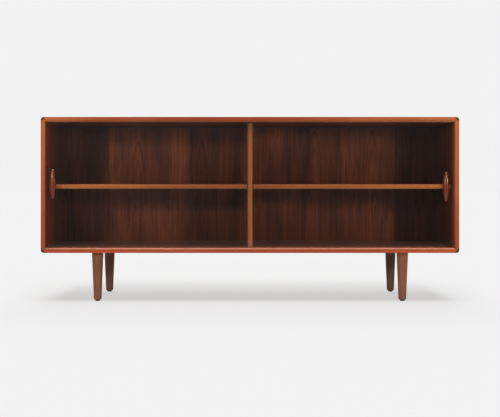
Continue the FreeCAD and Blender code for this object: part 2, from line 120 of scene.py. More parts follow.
def along_grain(tree, order, offset):
    """The place on the piece in metres, as (across the face, through the board, along the grain)."""
    here = own_place(tree)
    ordered = add_node(tree, "CombineXYZ", {slot: here[axis] for slot, axis in enumerate(order)})
    return add_node(tree, "Mapping", {"Vector": ordered.outputs[0], "Location": offset}).outputs[0]


def stretched_noise(tree, place, across, along, detail=2.0, roughness=0.5, output=0):
    """Noise with so many bumps a metre across the grain and along it."""
    stretched = add_node(tree, "Mapping", {"Vector": place, "Scale": (across, across, along)})
    noise = add_node(tree, "TexNoise", {"Vector": stretched.outputs[0], "Scale": 1.0, "Detail": detail,
                                        "Roughness": roughness})
    return noise.outputs[output]


# The noises that bend the growth rings and make them uneven, in bumps a metre across and along.
RING_DRIFT = (3.2, 0.9)
RING_UNEVENNESS = (9.0, 0.6)
UNEVEN_RINGS = 3.0
NOISE_MIDDLE = (0.5, 0.5, 0.5)
LATE_WOOD_POWER = 2.2
FAINTEST_RING = 0.15
RING_FADE_START = 0.9


def growth_rings(tree, place, heart, depth, taper, ring, wander):
    """Dark late wood at the end of each growth ring. The rings stand round a heart line that lies
    behind the face and runs off at a slope, so that they come out as arches on a flat cut."""
    drift = stretched_noise(tree, place, *RING_DRIFT, output=1)
    drift = calculate_vector(tree, "SUBTRACT", drift, NOISE_MIDDLE)
    place = calculate_vector(tree, "ADD", place, scaled(tree, drift, wander))
    across, through, along = add_node(tree, "SeparateXYZ", {0: place}).outputs
    sideways = calculate(tree, "SUBTRACT", across, heart)
    inwards = calculate(tree, "ADD", calculate(tree, "MULTIPLY_ADD", along, taper, through), depth)
    radius = distance(tree, sideways, inwards)
    uneven = calculate(tree, "MULTIPLY", stretched_noise(tree, place, *RING_UNEVENNESS), UNEVEN_RINGS)
    count = calculate(tree, "MULTIPLY_ADD", radius, 1 / ring, uneven)
    number = calculate(tree, "FLOOR", count)
    strength = add_node(tree, "TexWhiteNoise", {"W": number}, noise_dimensions="1D").outputs[0]
    way_through = calculate(tree, "FRACT", count)
    late = calculate(tree, "POWER", way_through, LATE_WOOD_POWER)
    late = calculate(tree, "MULTIPLY", late, fit_range(tree, strength, 0.0, 1.0, FAINTEST_RING, 1.0))
    fade = fit_range(tree, way_through, RING_FADE_START, 1.0, 1.0, 0.0)
    return calculate(tree, "MULTIPLY", late, fade)


# The noises in the wood: bumps a metre across the grain and along it, then detail and roughness.
TONE_NOISE = (14.0, 1.1, 3.0, 0.55)
STREAK_NOISE = (160.0, 3.0, 3.0, 0.6)
FIBRE_NOISE = (900.0, 12.0)
FIGURE_NOISES = ((60.0, 2.4), (240.0, 9.0))
PORE_NOISE = (1900.0, 55.0, 1.0)
# The part of each noise that counts, from its start to its full strength.
NOISE_SPAN = (0.3, 0.7)
STREAK_SPAN = (0.4, 0.75)
FIBRE_SPAN = (0.25, 0.75)
PORE_SPAN = (0.60, 0.68)
# How much each of them changes the colour, the shine and the relief.
FIBRE_TONES = (0.9, 1.1)
STREAK_SHARE = 0.55
PORE_SHARE = 0.55
PORE_DULLNESS = 0.2
DEEP_TONE_DULLNESS = 0.08
STREAK_HEIGHT = 0.15
RELIEF_STRENGTH = 0.35
RELIEF_DEPTH = 0.00012
WORN_ARRIS = 0.0008
WORN_ARRIS_SAMPLES = 4
COAT_ROUGHNESS = 0.18


def wood(name, pale, deep, dark, order, ring, heart=0.0, depth=0.05, taper=0.05, wander=0.03,
         offset=(0, 0, 0), line_share=0.6, figure=0.08, tone=None, paleness=None, stain=None,
         roughness=0.33, specular=0.3, gloss_tint=(1, 1, 1, 1), coat=0.0):
    """Oiled wood: slow changes of tone, growth rings, fine streaks, pores and a satin surface."""
    material, tree = new_finish(name)
    place = along_grain(tree, order, offset)
    if callable(heart):
        heart = heart(tree, place)
    slow = fit_range(tree, stretched_noise(tree, place, *TONE_NOISE), *NOISE_SPAN)
    if paleness is not None:
        slow = calculate(tree, "SUBTRACT", slow, paleness(tree), clamp=True)
    colour = mix_colour(tree, slow, pale, deep)
    rings = growth_rings(tree, place, heart, depth, taper, ring, wander)
    streaks = fit_range(tree, stretched_noise(tree, place, *STREAK_NOISE), *STREAK_SPAN)
    lines = calculate(tree, "MAXIMUM", rings, calculate(tree, "MULTIPLY", streaks, STREAK_SHARE))
    colour = mix_colour(tree, calculate(tree, "MULTIPLY", lines, line_share), colour, dark)
    fibre = fit_range(tree, stretched_noise(tree, place, *FIBRE_NOISE), *FIBRE_SPAN, *FIBRE_TONES)
    for bumps in FIGURE_NOISES:
        band = fit_range(tree, stretched_noise(tree, place, *bumps), *NOISE_SPAN, 1 - figure, 1 + figure)
        fibre = calculate(tree, "MULTIPLY", fibre, band)
    if tone is not None:
        fibre = calculate(tree, "MULTIPLY", fibre, tone(tree, place))
    colour = scaled(tree, colour, fibre)
    pore = fit_range(tree, stretched_noise(tree, place, *PORE_NOISE), *PORE_SPAN)
    colour = mix_colour(tree, calculate(tree, "MULTIPLY", pore, PORE_SHARE), colour, dark)
    if stain is not None:
        colour = stain(tree, colour)
    rough = calculate(tree, "MULTIPLY_ADD", pore, PORE_DULLNESS, roughness)
    rough = calculate(tree, "MULTIPLY_ADD", slow, DEEP_TONE_DULLNESS, rough)
    height = calculate(tree, "SUBTRACT", calculate(tree, "MULTIPLY", streaks, STREAK_HEIGHT), pore)
    worn = add_node(tree, "Bevel", {"Radius": WORN_ARRIS}, samples=WORN_ARRIS_SAMPLES).outputs[0]
    relief = add_node(tree, "Bump", {"Height": height, "Strength": RELIEF_STRENGTH,
                                     "Distance": RELIEF_DEPTH, "Normal": worn}).outputs[0]
    show(tree, add_node(tree, "BsdfPrincipled", {
        "Base Color": colour, "Roughness": rough, "Normal": relief, "Specular IOR Level": specular,
        "Specular Tint": gloss_tint, "Coat Weight": coat, "Coat Roughness": COAT_ROUGHNESS}))
    return material


def dress(material, *nodes):
    """Gives CAD nodes their finish."""
    for name in nodes:
        piece = cad[name]
        if not piece.material_slots:
            piece.data.materials.append(material)
        for material_slot in piece.material_slots:
            material_slot.material = material


def is_within(tree, beside, under, over):
    """1 where the place is nearer the middle than the given sides, and 0 elsewhere."""
    here = own_place(tree)
    across = calculate(tree, "LESS_THAN", calculate(tree, "ABSOLUTE", here[X]), beside)
    above = calculate(tree, "GREATER_THAN", here[Z], under)
    below = calculate(tree, "LESS_THAN", here[Z], over)
    return calculate(tree, "MULTIPLY", across, calculate(tree, "MULTIPLY", above, below))


INNER_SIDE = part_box("right_side_panel")[0][X]
INNER_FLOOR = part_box("bottom_panel")[1][Z]
INNER_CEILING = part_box("top_panel")[0][Z]
FACE_MARGIN = 0.0005
# Where the painted shade inside the case fades from its front tone to its rear tone, along Y.
SHADE_FADE_DEPTH = (-0.15, -0.04)


def inside_tone_and_shade(front, rear):
    """The faces inside the case are a darker veneer than the outside, with painted shade that
    deepens towards the rear, where less light reaches in, and differs from board to board."""
    def stain(tree, colour):
        shade = mix_colour(tree, fit_range(tree, own_place(tree)[Y], *SHADE_FADE_DEPTH), front, rear)
        is_inside = is_within(tree, INNER_SIDE + FACE_MARGIN, INNER_FLOOR - FACE_MARGIN,
                              INNER_CEILING + FACE_MARGIN)
        return mix_colour(tree, is_inside, colour, shade, "MULTIPLY")
    return stain


TEAK_DARK = (0.12, 0.024, 0.009, 1)
TEAK = ((0.43, 0.112, 0.032, 1), (0.27, 0.050, 0.013, 1), TEAK_DARK)
LEVEL_BOARD = dict(order=(Y, Z, X), ring=0.012, depth=0.06, taper=0.03)
UPRIGHT_BOARD = dict(order=(Y, X, Z), ring=0.012, depth=0.06, taper=0.06)
# Each board's inside: a darker veneer with painted shade, given at the front and at the rear.
TOP_INSIDE_TONE_AND_SHADE = inside_tone_and_shade((0.42, 0.55, 0.75, 1), (0.32, 0.45, 0.60, 1))
BOTTOM_INSIDE_TONE_AND_SHADE = inside_tone_and_shade((0.85, 0.90, 1.0, 1), (0.42, 0.50, 0.64, 1))
LEFT_INSIDE_TONE_AND_SHADE = inside_tone_and_shade((0.68, 0.66, 0.74, 1), (0.29, 0.40, 0.52, 1))
RIGHT_INSIDE_TONE_AND_SHADE = inside_tone_and_shade((0.46, 0.50, 0.66, 1), (0.24, 0.38, 0.50, 1))
BOTTOM_COAT = 0.5
dress(wood("teak_veneer_top", *TEAK, **LEVEL_BOARD, stain=TOP_INSIDE_TONE_AND_SHADE), "top_panel")
dress(wood("teak_veneer_bottom", *TEAK, **LEVEL_BOARD, stain=BOTTOM_INSIDE_TONE_AND_SHADE, coat=BOTTOM_COAT),
      "bottom_panel")
for side, side_shade in (("left", LEFT_INSIDE_TONE_AND_SHADE), ("right", RIGHT_INSIDE_TONE_AND_SHADE)):
    dress(wood(f"teak_veneer_{side}", *TEAK, **UPRIGHT_BOARD, stain=side_shade), f"{side}_side_panel")


# Corner beads
# Four quarter-round posts of solid teak, with a tongue for each board. They lie along the case's
# depth, so that the front shows their dark end grain.

# The beads are centred where the strips of the front frame end: so far beside the case's middle,
# and so far above and below it.
SIDE_STRIP_LOW, SIDE_STRIP_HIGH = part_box("right_lipping")
CASE_MIDDLE = (SIDE_STRIP_LOW[Z] + SIDE_STRIP_HIGH[Z]) / 2
BEAD_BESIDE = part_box("top_lipping")[1][X]
BEAD_BEYOND = (SIDE_STRIP_HIGH[Z] - SIDE_STRIP_LOW[Z]) / 2
CRESCENT_SET_IN = 0.004
CRESCENT_RADIUS = 0.0105
CRESCENT_FADE = 0.002
LEAST_END_NORMAL = 0.9
UPPER_END_STAIN = (0.24, 0.60, 0.95, 1)
LOWER_END_STAIN = (0.14, 0.30, 0.46, 1)


def crescent(tree):
    """1 on the front at the rounded corners, where the grain is cut across, and 0 elsewhere."""
    here = own_place(tree)
    beside = calculate(tree, "SUBTRACT", calculate(tree, "ABSOLUTE", here[X]),
                       BEAD_BESIDE - CRESCENT_SET_IN)
    height = calculate(tree, "ABSOLUTE", calculate(tree, "SUBTRACT", here[Z], CASE_MIDDLE))
    beyond = calculate(tree, "SUBTRACT", height, BEAD_BEYOND - CRESCENT_SET_IN)
    in_corner = calculate(tree, "GREATER_THAN", calculate(tree, "MINIMUM", beside, beyond), 0.0)
    in_ring = fit_range(tree, distance(tree, beside, beyond), CRESCENT_RADIUS,
                        CRESCENT_RADIUS + CRESCENT_FADE)
    facing = calculate(tree, "ABSOLUTE", own_normal(tree)[Y])
    is_end = calculate(tree, "GREATER_THAN", facing, LEAST_END_NORMAL)
    return calculate(tree, "MULTIPLY", is_end, calculate(tree, "MULTIPLY", in_corner, in_ring))


def end_grain_stain(tree, colour):
    """The end grain has drunk more oil, and it is darker again in the two lower corners."""
    is_low = calculate(tree, "LESS_THAN", own_place(tree)[Z], CASE_MIDDLE)
    shade = mix_colour(tree, is_low, UPPER_END_STAIN, LOWER_END_STAIN)
    return mix_colour(tree, crescent(tree), colour, shade, "MULTIPLY")


BEAD_TEAK = ((0.34, 0.085, 0.027, 1), (0.24, 0.050, 0.014, 1), (0.10, 0.022, 0.009, 1))
bead_wood = wood("teak_bead", *BEAD_TEAK, (X, Z, Y), ring=0.003, depth=0.02, taper=0.01, wander=0.004,
                 stain=end_grain_stain)
dress(bead_wood, "bottom_left_corner_bead", "bottom_right_corner_bead", "top_left_corner_bead",
      "top_right_corner_bead")


# Front frame
# Solid teak lippings, 45 mm deep, glued to the front edges of the boards. They are mitred at the
# corners and bevelled on the inside, and the top and bottom ones are grooved for the doors.

# The frame's bevels and inner faces, which get painted shade.
SHADED_BEVEL_REACH = (INNER_SIDE + 0.0035, INNER_FLOOR - 0.0050, INNER_CEILING + 0.0065)


def frame_shade_and_end_grain(bevel):
    """Painted shade on the bevel and the inner faces, which the lamps light less, and the darker end grain
    at the corners.
    """
    def stain(tree, colour):
        colour = mix_colour(tree, is_within(tree, *SHADED_BEVEL_REACH), colour, bevel, "MULTIPLY")
        return end_grain_stain(tree, colour)
    return stain


def painted_light_along(axis, start, end, at_start, at_end):
    """Painted light: paler towards the end of the strip that the lamps light more. Along X it is the same
    both ways.
    """
    def paleness(tree):
        here = own_place(tree)[axis]
        if axis == X:
            here = calculate(tree, "ABSOLUTE", here)
        return fit_range(tree, here, start, end, at_start, at_end)
    return paleness


LEVEL_STRIP = dict(order=(Z, Y, X), ring=0.006, depth=0.08, taper=0.012, wander=0.02)
UPRIGHT_STRIP = dict(order=(X, Y, Z), ring=0.006, depth=0.08, taper=0.012, wander=0.02)
FRAME_DARK = (0.14, 0.020, 0.007, 1)
FRAME_TOP = ((0.47, 0.125, 0.036, 1), (0.28, 0.042, 0.010, 1), FRAME_DARK)
FRAME_BOTTOM = ((0.46, 0.090, 0.022, 1), (0.355, 0.060, 0.014, 1), FRAME_DARK)
FRAME_UPRIGHT = ((0.45, 0.125, 0.038, 1), (0.28, 0.055, 0.015, 1), FRAME_DARK)
# The painted shade on each strip's bevel and inner faces; on the bottom strip it tones down the lit bevel.
TOP_BEVEL_SHADE = frame_shade_and_end_grain((0.70, 0.86, 1.0, 1))
BOTTOM_BEVEL_SHADE = frame_shade_and_end_grain((0.76, 1.0, 0.85, 1))
UPRIGHT_BEVEL_SHADE = frame_shade_and_end_grain((0.55, 0.46, 0.44, 1))
# Painted light: the top strip is paler towards its ends, and the uprights towards their tops.
PAINTED_LIGHT_AT_ENDS = painted_light_along(X, 0.66, 0.88, -0.15, 0.5)
PAINTED_LIGHT_ABOVE = painted_light_along(Z, 0.25, 0.77, -0.3, 0.6)
BOTTOM_SHEEN = 0.33
dress(wood("teak_frame_top", *FRAME_TOP, **LEVEL_STRIP, stain=TOP_BEVEL_SHADE, paleness=PAINTED_LIGHT_AT_ENDS),
      "top_lipping")
dress(wood("teak_frame_bottom", *FRAME_BOTTOM, **LEVEL_STRIP, stain=BOTTOM_BEVEL_SHADE, specular=BOTTOM_SHEEN),
      "bottom_lipping")
dress(wood("teak_frame_upright", *FRAME_UPRIGHT, **UPRIGHT_STRIP, stain=UPRIGHT_BEVEL_SHADE,
           paleness=PAINTED_LIGHT_ABOVE), "left_lipping", "right_lipping")


# Track strips
# Two thin slips of hardwood, one glued into each groove of the bottom frame. The panes run on
# them, with their upper edges in deeper grooves above.

TRACK_WOOD = ((0.20, 0.08, 0.04, 1), (0.14, 0.055, 0.03, 1), (0.05, 0.02, 0.012, 1))
dress(wood("track_wood", *TRACK_WOOD, (Z, Y, X), ring=0.006), "front_track_strip", "rear_track_strip")


# Back panel
# An 8 mm panel, veneered with upright leaves of dark, figured wood on the inside. It is screwed
# from behind, into the rebate of the boards and to the divider.

PANEL_LOW, PANEL_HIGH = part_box("back_panel")
PANEL_MIDDLE = (PANEL_LOW[Y] + PANEL_HIGH[Y]) / 2
CASE_WIDTH = 2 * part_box("right_side_panel")[1][X]
# Each leaf of veneer: its left edge and its heart line along X in metres, and its tone.
# The leaves' tones are partly their own and partly painted shade, where the side walls and the divider
# shade the panel.
LEAVES = ((-0.90, -0.78, 0.66), (-0.675, -0.54, 1.0), (-0.300, -0.23, 0.78), (-0.160, -0.02, 1.1),
          (0.173, 0.30, 0.74), (0.440, 0.50, 1.0), (0.520, 0.60, 0.8), (0.694, 0.80, 0.5))
HIGHEST_TONE = 2.0
CLOUD_NOISE = (11.0, 3.6, 3.0, 0.55)
CLOUD_TONES = (0.66 * HIGHEST_TONE, 1.34 * HIGHEST_TONE)
REAR_COLOUR = (0.30, 0.135, 0.062, 1)
REAR_SHARE = 0.72


def leaf_ramp(tree, place):
    """The leaf's heart line and tone, each from 0 to 1."""
    across = add_node(tree, "SeparateXYZ", {0: place}).outputs[0]
    ramp = add_node(tree, "ValToRGB", {0: fit_range(tree, across, -CASE_WIDTH / 2, CASE_WIDTH / 2)})
    ramp.color_ramp.interpolation = "CONSTANT"
    steps = ramp.color_ramp.elements
    while len(steps) < len(LEAVES):
        steps.new(0.5)
    for step, (edge, heart_line, tone) in zip(steps, LEAVES):
        step.position = edge / CASE_WIDTH + 0.5
        step.color = (heart_line / CASE_WIDTH + 0.5, tone / HIGHEST_TONE, 0, 1)
    return add_node(tree, "SeparateColor", {0: ramp.outputs[0]}).outputs


def leaf_heart(tree, place):
    return fit_range(tree, leaf_ramp(tree, place)[0], 0.0, 1.0, -CASE_WIDTH / 2, CASE_WIDTH / 2)


def leaf_tone_and_shade(tree, place):
    """Each leaf has its own tone, partly painted shade, and clouds of lighter and darker wood run up it.
    """
    cloud = fit_range(tree, stretched_noise(tree, place, *CLOUD_NOISE), *NOISE_SPAN, *CLOUD_TONES)
    return calculate(tree, "MULTIPLY", leaf_ramp(tree, place)[1], cloud)


def rear_stain(tree, colour):
    """The side towards the wall is paler, with little figure."""
    is_rear = calculate(tree, "GREATER_THAN", own_place(tree)[Y], PANEL_MIDDLE)
    return mix_colour(tree, calculate(tree, "MULTIPLY", is_rear, REAR_SHARE), colour, REAR_COLOUR)


BACK_VENEER = ((0.235, 0.058, 0.018, 1), (0.105, 0.027, 0.011, 1), (0.018, 0.009, 0.006, 1))
dress(wood("rosewood_back_veneer", *BACK_VENEER, (X, Y, Z), ring=0.008, heart=leaf_heart, depth=-0.16,
           taper=-0.09, wander=0.05, line_share=0.85, figure=0.19, tone=leaf_tone_and_shade, stain=rear_stain),
      "back_panel")

# The screw's head is a short rim and a low dome. Each step of the dome goes so far inwards and out.
SCREW_RADIUS = 0.0034
SCREW_RIM = 0.0005
SCREW_DOME = ((0.0009, 0.0003), (0.0010, 0.0002), (0.0008, 0.0001))
SCREW_SIDES = 28
SLOT_SIZE = (0.0080, 0.0016, 0.0012)
SLOT_PLACE = (0, 0.0011, 0)
LEAST_FLAT_NORMAL = 0.999
SLOT_CORNER = 5e-6
# The screws stand along the top and bottom edges, up both sides and up the divider. Each is turned
# so many degrees further than the last, so that no two slots lie alike.
SCREW_FROM_EDGE = 0.0045
ACROSS_SCREWS = (-0.8, -0.48, -0.16, 0.16, 0.48, 0.8)
SIDE_SCREWS = (0.42, 0.60)
DIVIDER_SCREWS = (0.32, CASE_MIDDLE, 0.695)
SCREW_PLACES = ([(x, z) for z in (PANEL_LOW[Z] + SCREW_FROM_EDGE, PANEL_HIGH[Z] - SCREW_FROM_EDGE)
                 for x in ACROSS_SCREWS]
                + [(x, z) for x in (PANEL_LOW[X] + SCREW_FROM_EDGE, PANEL_HIGH[X] - SCREW_FROM_EDGE)
                   for z in SIDE_SCREWS]
                + [(0.0, z) for z in DIVIDER_SCREWS])
SCREW_TURN = 37
# Metal's fine grain and its tarnish, in bumps a metre, and what they do.
METAL_GRAIN = 900.0
METAL_UNEVENNESS = 0.05
METAL_RELIEF_STRENGTH = 0.15
METAL_RELIEF_DEPTH = 0.0001
TARNISH = 120.0
TARNISH_SPAN = (0.35, 0.7)
TARNISH_TONES = (1.05, 0.75)


def metal(name, colour, roughness):
    """Plain metal, slightly dull in places."""
    material, tree = new_finish(name)
    here = add_node(tree, "TexCoord").outputs["Object"]
    grain = add_node(tree, "TexNoise", {"Vector": here, "Scale": METAL_GRAIN, "Detail": 3.0}).outputs[0]
    tarnish = add_node(tree, "TexNoise", {"Vector": here, "Scale": TARNISH, "Detail": 3.0}).outputs[0]
    rough = calculate(tree, "MULTIPLY_ADD", grain, METAL_UNEVENNESS * 2, roughness - METAL_UNEVENNESS)
    dull = fit_range(tree, tarnish, *TARNISH_SPAN, *TARNISH_TONES)
    relief = add_node(tree, "Bump", {"Height": grain, "Strength": METAL_RELIEF_STRENGTH,
                                     "Distance": METAL_RELIEF_DEPTH}).outputs[0]
    show(tree, add_node(tree, "BsdfPrincipled", {"Base Color": scaled(tree, colour, dull),
                                                 "Roughness": rough, "Metallic": 1.0, "Normal": relief}))
    return material


def select_faces(piece, wanted):
    """Selects, in edit mode, the faces whose centre and normal are wanted."""
    bpy.ops.object.mode_set(mode="OBJECT")
    for polygon in piece.data.polygons:
        polygon.select = wanted(polygon.center, polygon.normal)
    for edge in piece.data.edges:
        edge.select = False
    for point in piece.data.vertices:
        point.select = False
    bpy.ops.object.mode_set(mode="EDIT")
    bpy.ops.mesh.select_mode(type="FACE")


def settle(piece):
    """Leaves the finished piece at the origin, unturned and unscaled, with its place in its mesh."""
    if bpy.context.object.mode != "OBJECT":
        bpy.ops.object.mode_set(mode="OBJECT")
    bpy.ops.object.select_all(action="DESELECT")
    bpy.context.view_layer.objects.active = piece
    piece.select_set(True)
    bpy.ops.object.transform_apply(location=True, rotation=True, scale=True)


def apply_modifier(piece, kind, **settings):
    modifier = piece.modifiers.new(kind.lower(), kind)
    for setting, value in settings.items():
        setattr(modifier, setting, value)
    bpy.context.view_layer.objects.active = piece
    bpy.ops.object.modifier_apply(modifier=modifier.name)


def slotted_screw():
    """A slotted oval-head wood screw, drawn down onto a panel whose face is at the origin."""
    bpy.ops.object.select_all(action="DESELECT")
    bpy.ops.mesh.primitive_cylinder_add(vertices=SCREW_SIDES, radius=SCREW_RADIUS, depth=SCREW_RIM * 2,
                                        rotation=(-math.pi / 2, 0, 0))
    head = bpy.context.object
    settle(head)
    for inwards, rise in SCREW_DOME:
        select_faces(head, lambda centre, normal: normal.y > LEAST_FLAT_NORMAL)
        bpy.ops.mesh.inset(thickness=inwards, depth=rise)
    settle(head)
    bpy.ops.object.select_all(action="DESELECT")
    bpy.ops.mesh.primitive_cube_add(size=1, scale=SLOT_SIZE, location=SLOT_PLACE)
    slot_tool = bpy.context.object
    settle(slot_tool)
    apply_modifier(head, "BOOLEAN", operation="DIFFERENCE", object=slot_tool, solver="EXACT")
    bpy.data.objects.remove(slot_tool)
    bpy.ops.object.mode_set(mode="EDIT")
    bpy.ops.mesh.select_all(action="SELECT")
    bpy.ops.mesh.remove_doubles(threshold=SLOT_CORNER)
    settle(head)
    return head


def copy_of(piece, name, place, turn=0.0):
    """A copy with its own mesh, moved to its place and turned about its own axis along Y."""
    bpy.ops.object.select_all(action="DESELECT")
    bpy.context.view_layer.objects.active = piece
    piece.select_set(True)
    bpy.ops.object.duplicate(linked=False)
    made = bpy.context.object
    made.name = name
    made.rotation_euler.y = turn
    made.location = place
    settle(made)
    return made


def finish_piece(piece, material, body, smooth_angle=30):
    """Gives a modelled piece its finish and fixes it to its body."""
    piece.data.materials.clear()
    piece.data.materials.append(material)
    bpy.ops.object.select_all(action="DESELECT")
    piece.select_set(True)
    bpy.context.view_layer.objects.active = piece
    bpy.ops.object.shade_smooth_by_angle(angle=math.radians(smooth_angle))
    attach(piece, body)


screw_steel = metal("screw_steel", (0.50, 0.48, 0.44), 0.38)
pattern = slotted_screw()
for number, (x, z) in enumerate(SCREW_PLACES, start=1):
    screw = copy_of(pattern, f"back_screw_{number:02d}", (x, PANEL_HIGH[Y], z),
                    math.radians(SCREW_TURN * number))
    finish_piece(screw, screw_steel, "case", smooth_angle=25)
bpy.data.objects.remove(pattern)


# Divider
# An upright veneered board in the middle of the case, on beech dowels at its top and bottom. A
# solid lipping with rounded arrises is glued to its front.

dress(wood("teak_divider_veneer", *TEAK, **UPRIGHT_BOARD, offset=(0.3, 0, 0.4)), "divider_panel")
ARRIS_RADIUS = 0.002
ARRIS_STEPS = 5
SHORTEST_ARRIS = 0.01
FACE_REACH = 1e-5


def lipping_strip(name, node, along):
    """A solid strip on the front edge of a board, with both of its front arrises rounded."""
    low, high = (Vector(corner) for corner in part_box(node))
    bpy.ops.object.select_all(action="DESELECT")
    bpy.ops.mesh.primitive_cube_add(size=1, location=(low + high) / 2, scale=high - low)
    strip = bpy.context.object
    strip.name = name
    settle(strip)
    bpy.ops.object.mode_set(mode="EDIT")
    bpy.ops.mesh.select_mode(type="EDGE")
    bpy.ops.mesh.select_all(action="DESELECT")
    bpy.ops.object.mode_set(mode="OBJECT")
    points = strip.data.vertices
    for edge in strip.data.edges:
        start, end = (points[number].co for number in edge.vertices)
        is_long = abs((end - start)[along]) > SHORTEST_ARRIS
        edge.select = is_long and max(start.y, end.y) < low.y + FACE_REACH
    bpy.ops.object.mode_set(mode="EDIT")
    bpy.ops.mesh.bevel(offset=ARRIS_RADIUS, segments=ARRIS_STEPS, affect="EDGES")
    settle(strip)
    return strip


SHADED_END = (INNER_CEILING - 0.057, INNER_CEILING - 0.011)
SHADED_END_TONE = 0.52


def darker_top(tree, place):
    """The upper end of the divider's lipping is darker, where the top board shades it."""
    return fit_range(tree, own_place(tree)[Z], *SHADED_END, 1.0, SHADED_END_TONE)


DIVIDER_TEAK = ((0.60, 0.165, 0.046, 1), (0.47, 0.120, 0.034, 1), TEAK_DARK)
divider_lipping_wood = wood("teak_divider_lipping", *DIVIDER_TEAK, **UPRIGHT_STRIP, offset=(0.1, 0, 0.7),
                            tone=darker_top)
divider_strip = lipping_strip("divider_front_strip", "divider_lipping", Z)
finish_piece(divider_strip, divider_lipping_wood, "case")
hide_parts("divider_lipping")
BEECH = ((0.62, 0.42, 0.25, 1), (0.52, 0.33, 0.19, 1), (0.38, 0.22, 0.12, 1))
dress(wood("beech_dowel", *BEECH, (X, Y, Z), ring=0.003), "divider_dowels")


# Shelves
# One veneered board in each bay, with a solid lipping glued to its front. It lies loose on four
# brass supports, whose pegs stand in drilled holes.

dress(wood("teak_shelf_veneer", *TEAK, **LEVEL_BOARD, offset=(0.2, 0, 0.5)), "left_shelf", "right_shelf")
dress(metal("brass", (0.72, 0.50, 0.20), 0.32), "left_shelf_supports", "right_shelf_supports")
SHELF_TEAK = ((0.51, 0.150, 0.037, 1), (0.30, 0.078, 0.020, 1), TEAK_DARK)
# Painted light: each shelf's lipping is paler towards its outer end, nearer the softbox on that side.
PAINTED_LIGHT_OUTER_END = painted_light_along(X, 0.0, 0.8, -0.25, 0.45)
SHELF_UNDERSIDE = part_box("left_shelf_lipping")[0][Z]
# The band above the shelf's underside where the lipping gets painted shade, and how dark it is.
SHADED_ARRIS = (SHELF_UNDERSIDE + 0.0015, SHELF_UNDERSIDE + 0.0045)
SHADED_ARRIS_TONE = 0.6


def painted_shade_underside(tree, place):
    """Painted shade on the lower arris of a shelf's lipping, which turns down, away from the lamps."""
    return fit_range(tree, own_place(tree)[Z], *SHADED_ARRIS, SHADED_ARRIS_TONE, 1.0)


shelf_lipping_wood = wood("teak_shelf_lipping", *SHELF_TEAK, **LEVEL_STRIP, offset=(0, 0, 1.7),
                          tone=painted_shade_underside, paleness=PAINTED_LIGHT_OUTER_END)
left_strip = lipping_strip("left_shelf_front_strip", "left_shelf_lipping", X)
way_across = Vector(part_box("right_shelf_lipping")[0]) - Vector(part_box("left_shelf_lipping")[0])
right_strip = copy_of(left_strip, "right_shelf_front_strip", way_across)
for side, strip in (("left", left_strip), ("right", right_strip)):
    finish_piece(strip, shelf_lipping_wood, f"{side}_shelf_board")
    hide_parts(f"{side}_shelf_lipping")


# Sliding doors
# Two 5 mm panes of clear float glass with ground edges. The left one runs in the front track and
# the right one in the rear track, so that either can slide past the other.

CLEAR_GLASS = (0.988, 0.994, 0.990, 1)
GROUND_EDGE = (0.05, 0.11, 0.085, 1)
GROUND_ROUGHNESS = 0.35
LEAST_MIRROR = 0.04
MIRROR_POWER = 5.0
LEAST_PANE_NORMAL = 0.9
glass, tree = new_finish("float_glass")
glancing = add_node(tree, "LayerWeight", {"Blend": 0.5}).outputs["Facing"]
mirror_share = calculate(tree, "MULTIPLY_ADD", calculate(tree, "POWER", glancing, MIRROR_POWER),
                         1 - LEAST_MIRROR, LEAST_MIRROR)
clear = add_node(tree, "BsdfTransparent", {"Color": CLEAR_GLASS})
mirror = add_node(tree, "BsdfGlossy", {"Color": (1, 1, 1, 1), "Roughness": 0.0})
pane = add_node(tree, "MixShader", {0: mirror_share, 1: clear.outputs[0], 2: mirror.outputs[0]})
edge = add_node(tree, "BsdfPrincipled", {"Base Color": GROUND_EDGE, "Roughness": GROUND_ROUGHNESS})
is_edge = calculate(tree, "LESS_THAN", calculate(tree, "ABSOLUTE", own_normal(tree)[Y]),
                    LEAST_PANE_NORMAL)
show(tree, add_node(tree, "MixShader", {0: is_edge, 1: pane.outputs[0], 2: edge.outputs[0]}))
dress(glass, "left_glass_door", "right_glass_door")


# Pulls
# Slim spindles of dark, polished teak, turned on a lathe and split lengthways. One is glued by its
# flat to each pane, near the outer edge.

PULL_LENGTH = 0.130
PULL_WIDTH = 0.026
PULL_THICKNESS = 0.011
PULL_TIP_RADIUS = 0.0065
PULL_ARRIS = 0.0004
PULL_STEPS = 64
TIP_CENTRE = PULL_LENGTH / 2 - PULL_TIP_RADIUS
FLANK_RADIUS = (((PULL_WIDTH / 2) ** 2 + TIP_CENTRE ** 2 - PULL_TIP_RADIUS ** 2)
                / (PULL_WIDTH - 2 * PULL_TIP_RADIUS))
FLANK_CENTRE = (PULL_WIDTH / 2 - FLANK_RADIUS, 0)
TANGENT = math.degrees(math.atan2(TIP_CENTRE, FLANK_RADIUS - PULL_WIDTH / 2))


def arc(centre, radius, start, end, steps):
    """Points of an arc from one angle to another, in degrees."""
    angles = [math.radians(start + (end - start) * step / steps) for step in range(steps + 1)]
    return [(centre[0] + radius * math.cos(a), centre[1] + radius * math.sin(a)) for a in angles]


PULL_OUTLINE = (arc((0, -TIP_CENTRE), PULL_TIP_RADIUS, -90, -TANGENT, 8)[:-1]
                + arc(FLANK_CENTRE, FLANK_RADIUS, -TANGENT, TANGENT, 20)
                + arc((0, TIP_CENTRE), PULL_TIP_RADIUS, TANGENT, 90, 8)[1:])
SEAM_REACH = 1e-6


